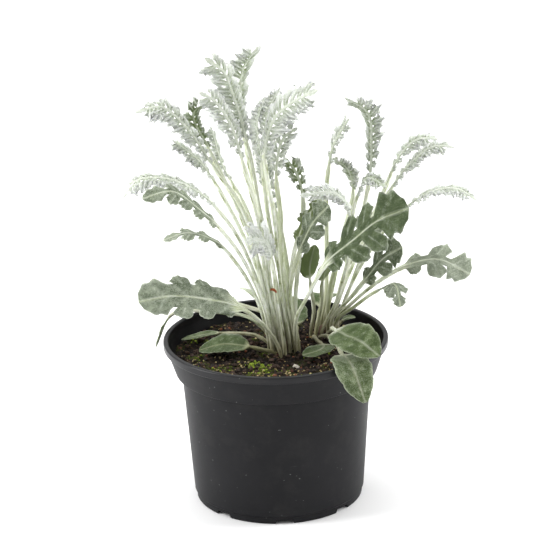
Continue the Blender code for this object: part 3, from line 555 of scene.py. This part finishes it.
def make_pot(plastic):
    """Smooth pot with its notches and drain holes."""
    pot = add_mesh("pot_fine", *revolve(pot_profile(), POT_SIDES), plastic)
    low, high = 0.5 * CHANNEL_RISE, 2.0 * CHANNEL_RISE
    drain, faces = revolve(((0.0, low), (DRAIN_RADIUS, low), (DRAIN_RADIUS, high), (0.0, high)),
                           DRAIN_SIDES)
    cutters = []
    for index in range(NOTCHES):
        angle = NOTCH_TURN + math.tau * index / NOTCHES
        cutters.append(notch_cutter(index, angle))
        x, y = polar(DRAIN_CIRCLE, angle)
        moved = [(px + x, py + y, pz) for px, py, pz in drain]
        cutters.append(add_mesh(f"drain_{index}", moved, faces, smooth=False))
    cut(pot, cutters)
    pot.data.shade_smooth()
    pot.data.set_sharp_from_angle(angle=math.radians(35.0))
    return dress(pot, "pot_plastic", "pot")


def smooth_route(points, count=200):
    """Samples of a smooth curve through the points, and their run from the foot."""
    knots = np.array(points, float).reshape(-1, 3)
    chords = np.linalg.norm(np.diff(knots, axis=0), axis=1)
    times = np.concatenate(([0.0], np.cumsum(chords)))
    slopes = np.diff(knots, axis=0) / chords[:, None]
    tangents = np.empty_like(knots)
    tangents[0], tangents[-1] = slopes[0], slopes[-1]
    for k in range(1, len(knots) - 1):
        before, after = chords[k - 1], chords[k]
        tangents[k] = (slopes[k - 1] * after + slopes[k] * before) / (before + after)
    samples = []
    for time in np.linspace(0.0, times[-1], count):
        k = min(int(np.searchsorted(times, time, side="right")) - 1, len(chords) - 1)
        span = chords[k]
        u = (time - times[k]) / span
        samples.append((2 * u**3 - 3 * u**2 + 1) * knots[k] + (u**3 - 2 * u**2 + u) * span * tangents[k]
                       + (3 * u**2 - 2 * u**3) * knots[k + 1] + (u**3 - u**2) * span * tangents[k + 1])
    samples = np.array(samples)
    steps = np.linalg.norm(np.diff(samples, axis=0), axis=1)
    return samples, np.concatenate(([0.0], np.cumsum(steps)))


def lean_frames(samples, runs, distances, turn, blade_start):
    """Point, right and upper directions at each distance along the route."""

    def at(distance):
        return np.array([np.interp(distance, runs, samples[:, axis]) for axis in range(3)])

    heading = samples[-1] - samples[0]
    out = unit(np.array((heading[0], heading[1], 0.0)))
    right_level = np.array((out[1], -out[0], 0.0))
    frames = []
    for distance in distances:
        forward = unit(at(distance + TANGENT_STEP) - at(distance - TANGENT_STEP))
        right = unit(right_level - forward * np.dot(right_level, forward))
        upper = np.cross(right, forward)
        ease = clamp((distance - 0.5 * blade_start) / (0.5 * blade_start))
        roll = math.radians(turn) * ease * ease * (3 - 2 * ease)
        c, s = math.cos(roll), math.sin(roll)
        frames.append((at(distance), right * c - upper * s, upper * c + right * s))
    return frames


class Sheet:
    """Middle surface of a leaf: points, upper directions, half thicknesses, marks and quads."""

    MARKS = ("vein", "rim", "stalk", "bare", "across", "along")

    def __init__(self):
        self.points, self.uppers, self.halves, self.marks, self.quads = [], [], [], [], []

    def add(self, point, upper, half, *marks):
        self.points.append(point)
        self.uppers.append(upper)
        self.halves.append(half)
        self.marks.append(marks)
        return len(self.points) - 1

    def strip(self, low, high, flip=False):
        """Quads between two rows of the same count."""
        for k in range(len(low) - 1):
            quad = (low[k], high[k], high[k + 1], low[k + 1])
            self.quads.append(quad[::-1] if flip else quad)

    def solid(self, felt, tone):
        """Closed body with its marks: both faces and a wall round the edge."""
        points = np.array(self.points)
        offset = np.array(self.uppers) * np.array(self.halves)[:, None]
        count = len(points)
        vertices = np.vstack((points + offset, points - offset))
        faces, edges = [], set()
        for quad in self.quads:
            faces.append(quad)
            faces.append(tuple(index + count for index in reversed(quad)))
            edges.update(zip(quad, quad[1:] + quad[:1]))
        for a, b in sorted(edges):
            if (b, a) not in edges:
                faces.append((b, a, a + count, b + count))
        columns = np.array(self.marks, float).T
        marks = {key: np.tile(column, 2) for key, column in zip(self.MARKS, columns)}
        marks["under"] = np.repeat((0.0, 1.0), count)
        marks["felt"] = np.full(2 * count, felt)
        marks["tone"] = np.full(2 * count, tone)
        height = vertices[:, 2] - SOIL_TOP
        marks["foot"] = np.clip(1.0 - height / FOOT_BLUSH, 0.0, 0.9) * marks["stalk"]
        return vertices, faces, marks


def leaf_stations(kind, start, length):
    """Distances of a leaf's sections from its foot, and which of them begin a lobe on each side."""
    columns = kind["columns"]
    pairs = max(2, round(length / kind["pitch"])) if kind["pitch"] else 0
    count = max(8, round(start / STALK_SECTION))
    stations, roots = [start * (k / count) for k in range(count + 1)], {1: [], -1: []}
    lobed = length * (1.0 - kind["tip"])
    edges = [lobed * (k / pairs) ** 0.92 for k in range(pairs + 1)] if pairs else [0.0]
    for k in range(pairs):
        low, span = start + edges[k], edges[k + 1] - edges[k]
        first = len(stations) - 1
        roots[1].append(first)
        if kind["layout"] == "alternate":
            shares = [j / (2 * columns) for j in range(1, 2 * columns + 1)]
            roots[-1].append(first + columns)
        else:
            shares = [0.74 * j / columns for j in range(1, columns + 1)] + [0.87, 1.0]
            roots[-1].append(first)
        stations.extend(low + span * share for share in shares)
    last = stations[-1]
    rest = start + length - last
    steps = 22 if kind["tip"] > FULL_TIP else 12
    stations.extend(last + rest * (k / steps) ** 0.85 for k in range(1, steps + 1))
    return stations, roots


def arch(shape, share):
    """Half width of a lobed blade's outline along its length, 0 at the foot to 1 at the tip."""
    start, run, skew, fullness = shape
    return max(0.0, math.sin(math.pi * min(1.0, start + run * share) ** skew)) ** fullness


def oval_profile(share):
    """Half width of an uncut blade along its length, with a gently waved edge."""
    wave = 1.0 + 0.035 * math.sin(26.0 * share) + 0.02 * math.sin(61.0 * share + 1.0)
    return max(0.06, wave * math.sin(math.pi * min(0.992, share) ** 0.9) ** 0.56)


def wing_width(kind, share, half_width):
    """Half width of the uncut strip beside the midrib."""
    if kind["pitch"] == 0.0:
        return half_width * oval_profile(share)
    tip_start = 1.0 - kind["tip"]
    ease = min(1.0, share / 0.12)
    width = kind["wing"] * half_width * (0.45 + 0.55 * ease) * (1.0 - 0.35 * share)
    floor = MIN_WING
    if share > tip_start:
        u = (share - tip_start) / kind["tip"]
        full = half_width * arch(BLADE_ARCH, tip_start) * min(1.0, kind["tip"] / FULL_TIP)
        rise = min(1.0, u / TIP_SHOULDER)
        rise = rise * rise * (3.0 - 2.0 * rise)
        close = math.sqrt(max(0.0, 1.0 - (max(0.0, u - TIP_ROUND) / (1.0 - TIP_ROUND)) ** 2))
        depth = min(0.2, 2.6 * kind["scallop"])
        lobules = 1.0 - depth * (0.5 - 0.5 * math.cos(3.0 * math.tau * u)) * rise
        width = (width + (max(width, full) - width) * rise) * (1.0 - 0.25 * u) * close * lobules
        floor = MIN_WING * (1.0 - 0.7 * u)
    return max(width, floor)


def bend_table(droop, reach, steps=24):
    """How far a bent lobe runs forward and down, and its angle, along its length."""
    run, drop, table = 0.0, 0.0, [(0.0, 0.0, 0.0)]
    for k in range(steps):
        angle = math.radians(droop) * ((k + 0.5) / steps) ** 1.2
        run += math.cos(angle) * reach / steps
        drop += math.sin(angle) * reach / steps
        table.append((run, drop, math.radians(droop) * ((k + 1) / steps) ** 1.2))
    return np.array(table)


def lobe_outline(u, v, scallop):
    """Place in a rounded, lobuled lobe of length 1: across as a share of its half width, along."""
    if v <= LOBE_BELLY:
        return u, v
    y = (v - LOBE_BELLY) / (1.0 - LOBE_BELLY)
    round_x = u * math.sqrt(1.0 - 0.5 * y * y)
    round_y = y * math.sqrt(1.0 - 0.5 * u * u)
    turn = math.atan2(round_x, round_y + 1e-9)
    size = 1.0 + scallop * (math.cos(5.0 * turn) - 0.3) * (round_x ** 2 + round_y ** 2) * y ** 0.5
    return round_x * size, LOBE_BELLY + round_y * size * (1.0 - LOBE_BELLY)


def add_lobe(sheet, base, side, kind, reach, half_lobe, droop, lean, chance):
    """One lobe, grown from the run of edge points given as base."""
    columns = len(base) - 1
    base_points = [sheet.points[index] for index in base]
    run = base_points[-1] - base_points[0]
    middle = 0.5 * (base_points[0] + base_points[-1])
    half_base = 0.5 * np.linalg.norm(run)
    forward = unit(run)
    upper = unit(sum(sheet.uppers[index] for index in base))
    outward = unit(np.cross(forward, upper)) * side
    lean = math.radians(lean)
    heading = unit(outward * math.cos(lean) + forward * math.sin(lean))
    across = unit(np.cross(upper, heading)) * side
    table = bend_table(droop, reach)
    shares = np.linspace(0.0, 1.0, len(table))
    phase = chance.uniform(0.0, math.tau)
    cup = chance.uniform(0.2, 0.5)
    twist = math.radians(kind["twist"]) * chance.uniform(-1.0, 1.0)
    previous = list(base)
    for row in range(1, LOBE_ROWS + 1):
        v = row / LOBE_ROWS
        width_way = unit(forward * (1.0 - 0.6 * v) + across * (0.6 * v))
        bumps = 1.0 + kind["bumps"] * math.sin(2.2 * math.tau * v + phase) * min(1.0, 2.0 * v)
        neck = (1.0 - v) ** 3
        half = (half_base * neck + half_lobe * (1.0 - neck)) * bumps
        blend = max(0.0, 1.0 - v * 3.0) ** 2
        # Painted shade: a frond lobe loses felt towards its base, greener and darker where the lobes
        # crowd round the midrib.
        bare = (1.0 - v) ** 1.5 if kind["slot"] == "frond_felt" else 0.0
        current = []
        for column in range(columns + 1):
            u = 2.0 * column / columns - 1.0
            wide, along = lobe_outline(u, v, kind["scallop"])
            ahead, down, angle = (np.interp(min(1.0, along), shares, table[:, k]) for k in range(3))
            extra = max(0.0, along - 1.0) * reach
            facing = upper * math.cos(angle) + heading * math.sin(angle)
            step = heading * math.cos(angle) - upper * math.sin(angle)
            side_way = width_way * math.cos(twist * v) + facing * math.sin(twist * v)
            ruffle = kind["ruffle"] * half_lobe * v * math.cos(2.5 * math.pi * u + phase)
            sag = cup * half * u * u * 0.5 * v
            place = (middle + heading * ahead - upper * down + step * extra
                     + side_way * (wide * half) + facing * (ruffle - sag))
            line = middle + forward * (u * half_base)
            place = place + (base_points[column] - line) * blend
            vein = max(0.0, 1.0 - abs(u) * columns * 0.4) * (1.0 - 0.8 * v)
            rim = max(abs(u) ** 2, v ** 2)
            current.append(sheet.add(place, facing, BLADE_HALF, vein, rim, 0.0, bare, u, 0.0))
        sheet.strip(previous, current, flip=side < 0)
        previous = current


def blade_row(sheet, frame_at, share, distance, half, rise, kind, phase):
    """Points across the stalk (share below 0) or the blade's uncut strip at one section."""
    point, right, upper = frame_at
    on_blade = share >= 0.0
    ease = clamp(share / 0.25)
    middle = STALK_HALF + (1.3 * BLADE_HALF - STALK_HALF) * (ease ** 0.6)
    edge = 0.42 * STALK_HALF + (BLADE_HALF - 0.42 * STALK_HALF) * ease
    rib = min(1.0, 1.0 / half) if on_blade else 1.0
    spread = 1.0 + 0.8 * clamp((half - 2.0) / 6.0)
    uncut = kind["pitch"] == 0.0
    current = []
    for column in range(2 * WING_COLUMNS + 1):
        flat = 1.0 - column / WING_COLUMNS
        u = math.copysign(abs(flat) ** spread, flat)
        place = point + right * (half * u) + upper * (rise * abs(u) ** 1.4)
        core = max(0.0, 1.0 - (abs(u) / rib) ** 2)
        thick = edge + (middle - edge) * (core if on_blade else math.sqrt(core))
        vein, stalk, rim, bare = 0.0, 1.0, 0.0, 0.0
        if on_blade:
            stalk = max(core * kind["rib"] * (1.0 - 0.45 * share), 1.0 - share * 9.0)
            vein = 0.6 * max(0.0, math.sin(math.pi * (share * (13.0 if uncut else 9.0)
                                                      - abs(u) * 1.5))) ** 14
            pucker = math.sin(share * 40.0 + phase) * math.sin(3.2 * u + phase)
            swell = noise.noise(Vector(place) * 0.11) * min(1.0, half / 8.0)
            place = place + upper * (0.02 * half * pucker * min(1.0, abs(u) * 3.0)
                                     + 0.9 * swell * abs(u))
            rim = abs(u) ** 3 if uncut or share > 1.0 - kind["tip"] else 0.0
            # Painted shade: the frond's midrib strip keeps only part of its felt, greener and darker
            # among the lobes.
            bare = 0.5 if kind["slot"] == "frond_felt" else 0.0
        current.append(sheet.add(place, upper, thick, vein, rim, clamp(stalk), bare, u, distance))
    return current


def make_leaf(order, row, materials):
    """Stalk and blade of one leaf as a single closed body."""
    name, crown, kind_name, ring, bearing, length, half_width, turn, droop, felt, *route = row
    kind = KINDS[kind_name]
    chance = random.Random(SHAPE_SEED + order)
    detail = random.Random(DETAIL_SEED + order)
    shape = FROND_ARCH if kind_name == "frond" else BLADE_ARCH
    x, y = polar(RING_RADII[ring], math.radians(bearing))
    foot = (CROWNS[crown][0] + x, CROWNS[crown][1] + y)
    samples, runs = smooth_route((*foot, FOOT_Z, *foot, SOIL_TOP + COLUMN_RISE, *route))
    start = runs[-1] - length
    distances, roots = leaf_stations(kind, start, length)
    frames = lean_frames(samples, runs, distances, turn, start)
    sheet, rows = Sheet(), []
    phase = detail.uniform(0.0, math.tau)
    for distance, frame_at in zip(distances, frames):
        share = (distance - start) / length
        if share < 0.0:
            half, rise = kind["stalk"] * (1.0 + 0.25 * share / max(1.0, start / length)), 0.0
        else:
            half = wing_width(kind, share, half_width)
            rise = 0.12 * half * (1.0 if kind["pitch"] == 0.0 else 0.6)
        rows.append(blade_row(sheet, frame_at, share, distance, half, rise, kind, phase))
    for low, high in zip(rows, rows[1:]):
        sheet.strip(low, high)
    for side, starts in roots.items():
        column = 0 if side > 0 else 2 * WING_COLUMNS
        for first in starts:
            base = [rows[first + k][column] for k in range(kind["columns"] + 1)]
            share = (distances[first] - start) / length
            reach = half_width * kind["reach"] * arch(shape, share) * chance.uniform(0.88, 1.1)
            reach *= 1.0 + 0.008 * kind["twist"] * detail.uniform(-1.0, 0.7)
            reach = max(reach, MIN_REACH)
            lean = kind["forward"] + chance.uniform(-6.0, 6.0)
            lean += 0.4 * kind["twist"] * detail.uniform(-1.0, 1.0)
            pitch = length * (1.0 - kind["tip"]) / len(starts) * (1.06 - 0.12 * share)
            half_lobe = min(0.5 * kind["fill"] * pitch * math.cos(math.radians(lean)), 0.75 * reach)
            curl = droop * kind["curl"] * chance.uniform(0.7, 1.05) * min(1.0, reach / CURL_REACH)
            add_lobe(sheet, base, side, kind, reach, half_lobe, curl, lean, detail)
    points, faces, marks = sheet.solid(felt, detail.random())
    piece = add_mesh(name + "_fine", points, faces, materials[kind["slot"]], marks)
    return dress(piece, kind["slot"], name)


def crumbly_height(x, y):
    """Uneven top of the soil with crumbs and small clods, a little lower along the wall."""
    swell = math.sin(0.13 * x + 0.6) * math.cos(0.11 * y) + 0.5 * math.sin(0.31 * x - 0.27 * y)
    edge = max(0.0, math.hypot(x, y) - 66.0)
    coarse = noise.fractal(Vector((x * 0.15, y * 0.15, 3.0)), 0.7, 2.1, 5)
    fine = noise.noise(Vector((x * 0.55, y * 0.55, 9.0)))
    return SOIL_TOP + 1.3 * swell - 0.15 * edge + 1.8 * coarse + 0.9 * fine


def moss_share(x, y):
    """Where moss grows: in patches, mostly along the front."""
    patch = noise.noise(Vector((x * 0.06, y * 0.06, 20.0)))
    tuft = max(0.0, 1.0 - math.hypot(x - MOSS_TUFT[0], y - MOSS_TUFT[1]) / 9.0)
    return clamp(1.1 * patch + 0.3 * clamp((-y - 20.0) / 30.0) + 1.5 * tuft)


def make_soil(material):
    """Fine crumbly disc with a skirt down to the pot's floor."""
    sides = SOIL_SIDES
    points, moss = [(0.0, 0.0, crumbly_height(0.0, 0.0))], [0.0]
    for ring in range(1, SOIL_RINGS + 1):
        for x, y in circle(SOIL_RADIUS * ring / SOIL_RINGS, sides):
            points.append((x, y, crumbly_height(x, y)))
            moss.append(moss_share(x, y))
    for radius, height in SOIL_SKIRT:
        points += [(x, y, height) for x, y in circle(radius, sides)]
    hub = len(points)
    points.append((0.0, 0.0, SOIL_SKIRT[-1][1]))
    moss += [0.0] * (len(points) - len(moss))
    afters = [(step + 1) % sides for step in range(sides)]
    faces = [(0, 1 + step, 1 + after) for step, after in enumerate(afters)]
    for low in range(1, hub - sides, sides):
        high = low + sides
        faces += [(low + step, high + step, high + after, low + after)
                  for step, after in enumerate(afters)]
    faces += [(hub, hub - sides + after, hub - sides + step) for step, after in enumerate(afters)]
    return dress(add_mesh("soil_fine", points, faces, material, {"moss": moss}),
                 "potting_soil", "soil")


def pebble_points(centre, size, chance):
    """Small lumpy icosahedron round a centre."""
    golden = (1.0 + math.sqrt(5.0)) / 2.0
    corners = []
    for a in (-1.0, 1.0):
        for b in (-golden, golden):
            corners += [(0.0, a, b), (a, b, 0.0), (b, 0.0, a)]
    turn = Vector([chance.uniform(-1, 1) for _ in range(3)]).to_track_quat("Z", "Y")
    squash = [chance.uniform(*limits) for limits in ((0.7, 1.3), (0.7, 1.3), (0.5, 0.9))]
    points = []
    for corner in corners:
        vector = (turn @ Vector(corner).normalized()) * (size * chance.uniform(0.72, 1.28))
        points.append(tuple(c + v * s for c, v, s in zip(centre, vector, Vector(squash))))
    return points


def hull_faces(points):
    """Points and triangles of the convex hull of a few points."""
    mesh = bmesh.new()
    for point in points:
        mesh.verts.new(point)
    bmesh.ops.convex_hull(mesh, input=mesh.verts)
    mesh.verts.index_update()
    faces = [tuple(vertex.index for vertex in face.verts) for face in mesh.faces]
    places = [tuple(vertex.co) for vertex in mesh.verts]
    mesh.free()
    return places, faces


def loose_bits(name, spots, materials, chance, lift=0.25):
    """One piece made of many small bits on the soil: spots are (x, y, size)."""
    points, faces, tints = [], [], []
    for x, y, size in spots:
        centre = (x, y, crumbly_height(x, y) + lift * size)
        places, hull = hull_faces(pebble_points(centre, size, chance))
        offset = len(points)
        points += places
        faces += [tuple(index + offset for index in face) for face in hull]
        tints += [chance.random()] * len(places)
    piece = add_mesh(name, points, faces, materials[name], {"tint": tints}, smooth=False)
    return dress(piece, "potting_soil")


def scatter(count, size, chance, where):
    """Random spots on the soil, kept as often as where says for the place."""
    spots = []
    while len(spots) < count:
        turn, radius = chance.uniform(0.0, math.tau), (SOIL_RADIUS - 3.0) * math.sqrt(chance.random())
        x, y = polar(radius, turn)
        if chance.random() < where(x, y):
            spots.append((x, y, chance.uniform(*size)))
    return spots


def front_edge(x, y):
    """Most grit lies along the front and at the back right, in clusters."""
    cluster = max(0.0, noise.noise(Vector((x * 0.12, y * 0.12, 40.0))) + 0.25)
    front = clamp((-y - 12.0) / 40.0) * (0.3 + 0.7 * min(1.0, math.hypot(x, y) / 60.0))
    right = clamp((x - 40.0) / 20.0) * clamp((y - 5.0) / 20.0)
    return max(0.04, cluster * max(front, right))


def dried_flake(name, centre, size, turn, material, chance):
    """Small curled scrap of a dried leaf."""
    sheet, rows, spin = Sheet(), [], Matrix.Rotation(turn, 3, "Y")
    for i in range(7):
        u = i / 3.0 - 1.0
        current = []
        for j in range(5):
            v = j / 2.0 - 1.0
            wide = size * 0.55 * math.sqrt(max(0.05, 1.0 - u * u)) * (1.0 + chance.uniform(-0.2, 0.2))
            place = spin @ Vector((u * size, v * wide, size * (0.5 * v * v - 0.3 * u * u)))
            current.append(sheet.add(np.array(centre) + place, (0.0, -0.4, 0.9), 0.25,
                                     0, 0, 0, 0, u, v))
        rows.append(current)
    for low, high in zip(rows, rows[1:]):
        sheet.strip(low, high)
    points, faces, marks = sheet.solid(0.0, 0.5)
    marks["tint"] = marks["tone"]
    return dress(add_mesh(name, points, faces, material, marks), "potting_soil")


def make_litter(materials):
    """Grit, crumbs, moss, pebble and dried scraps."""
    chance = random.Random(LITTER_SEED)
    for name, count, size, where in (("grit", 1100, (0.35, 1.0), front_edge),
                                     ("peat_crumbs", 1500, (0.6, 2.1), lambda x, y: 1.0),
                                     ("bark_bits", 90, (0.9, 2.0), lambda x, y: 1.0)):
        loose_bits(name, scatter(count, size, chance, where), materials, chance)
    tuft = [(chance.gauss(MOSS_TUFT[0], 3.4), chance.gauss(MOSS_TUFT[1], 2.2),
             chance.uniform(0.5, 1.2)) for _ in range(170)]
    moss = scatter(420, (0.4, 1.0), chance, lambda x, y: moss_share(x, y) ** 2) + tuft
    loose_bits("moss_crumbs", moss, materials, chance)
    loose_bits("pebble", [(*PEBBLE, PEBBLE_SIZE)], materials, chance, 0.5)
    for index, (x, y, z, size, turn) in enumerate(DRIED):
        dried_flake(f"dried_scrap_{index}", (x, y, z), size, turn, materials["dried"], chance)


def make_camera():
    """Camera at the photograph's place, with its slight roll."""
    data = bpy.data.cameras.new("photo_camera")
    data.lens = FOCAL_PIXELS / FRAME_PIXELS * data.sensor_width
    data.clip_end = 20.0
    camera = link(bpy.data.objects.new("photo_camera", data))
    level, rise = polar(1.0, CAMERA_ELEVATION)
    c, s = polar(1.0, CAMERA_ROLL)
    right, up, back = Vector((1.0, 0.0, 0.0)), Vector((0.0, rise, level)), Vector((0.0, -level, rise))
    axes = Matrix((right * c + up * s, up * c - right * s, back)).transposed()
    camera.location = (Vector(CAMERA_TARGET) + back * CAMERA_DISTANCE) * MM
    camera.rotation_euler = axes.to_euler()
    bpy.context.scene.camera = camera


def area_light(name, place, aim, size, power):
    data = bpy.data.lights.new(name, "AREA")
    data.shape = "RECTANGLE"
    data.size, data.size_y = size
    data.energy = power
    light = link(bpy.data.objects.new(name, data))
    light.location = place
    light.rotation_euler = (Vector(aim) - Vector(place)).to_track_quat("-Z", "Y").to_euler()


def make_world():
    """White studio: bright above, behind and at the sides, dim in front."""
    n = Nodes("studio", bpy.data.worlds.new("studio"))
    way = n.add("SeparateXYZ", {0: n.places["Generated"]})
    rise, depth = (n.spread(way[axis], *levels, interpolation_type="SMOOTHSTEP")
                   for axis, levels in (("Z", WORLD_RISE), ("Y", WORLD_DEPTH)))
    n.fill(n.shader, {"Color": (1.0, 1.0, 1.0, 1.0), "Strength": n.math("ADD", rise, depth)})
    bpy.context.scene.world = n.owner


def make_floor():
    """Plain white floor."""
    n = Nodes("floor_white")
    tone = n.ramp(n.noise(3.0, 2.0, 0.5), ((0.3, (0.93, 0.93, 0.93, 1.0)),
                                           (0.7, (0.95, 0.95, 0.95, 1.0))))
    n.fill(n.shader, {"Base Color": tone, "Roughness": 0.9, "Specular IOR Level": 0.1})
    half = FLOOR_HALF / MM
    corners = [(-half, -half, 0.0), (half, -half, 0.0), (half, half, 0.0), (-half, half, 0.0)]
    add_mesh("floor", corners, [(0, 1, 2, 3)], n.owner, smooth=False)


def make_materials():
    return {
        # The fronds' olive underside colour is painted shade of their curled lobes.
        "frond_felt": leaf_material("felt_silver", srgb(116, 132, 82), srgb(88, 106, 54),
                                    srgb(230, 233, 229), srgb(106, 120, 62), 0.2),
        "leaf_sage": leaf_material("felt_sage", srgb(76, 90, 55), srgb(50, 64, 33),
                                   srgb(204, 211, 195), srgb(112, 126, 78), 0.16),
        "leaf_green": leaf_material("felt_green", srgb(80, 96, 54), srgb(54, 69, 32),
                                    srgb(196, 204, 179), srgb(110, 124, 80), 0.12),
        "soil": soil_material(),
        "grit": crumb_material("grit_sand", srgb(112, 92, 52), srgb(222, 204, 150)),
        "peat_crumbs": crumb_material("peat_crumb", srgb(14, 10, 8), srgb(74, 52, 38)),
        "bark_bits": crumb_material("bark_red", srgb(70, 36, 22), srgb(132, 78, 50)),
        "moss_crumbs": crumb_material("moss_green", srgb(64, 80, 14), srgb(158, 180, 44)),
        "pebble": crumb_material("pebble_pale", srgb(176, 170, 156), srgb(220, 216, 204)),
        "dried": crumb_material("dried_leaf", srgb(112, 52, 22), srgb(176, 96, 46)),
        "crown": crumb_material("crown_bark", srgb(98, 78, 62), srgb(146, 124, 102)),
        "plastic": plastic_material(),
    }


def main():
    bpy.context.scene.view_settings.view_transform = "Standard"
    materials = make_materials()
    make_pot(materials["plastic"])
    make_soil(materials["soil"])
    make_litter(materials)
    for order, row in enumerate(LEAVES):
        make_leaf(order, row, materials)
    for name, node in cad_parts.items():
        if name.startswith("crown"):
            node.data.materials.clear()
            node.data.materials.append(materials["crown"])
    make_camera()
    make_world()
    make_floor()
    for light in LIGHTS:
        area_light(*light)


main()
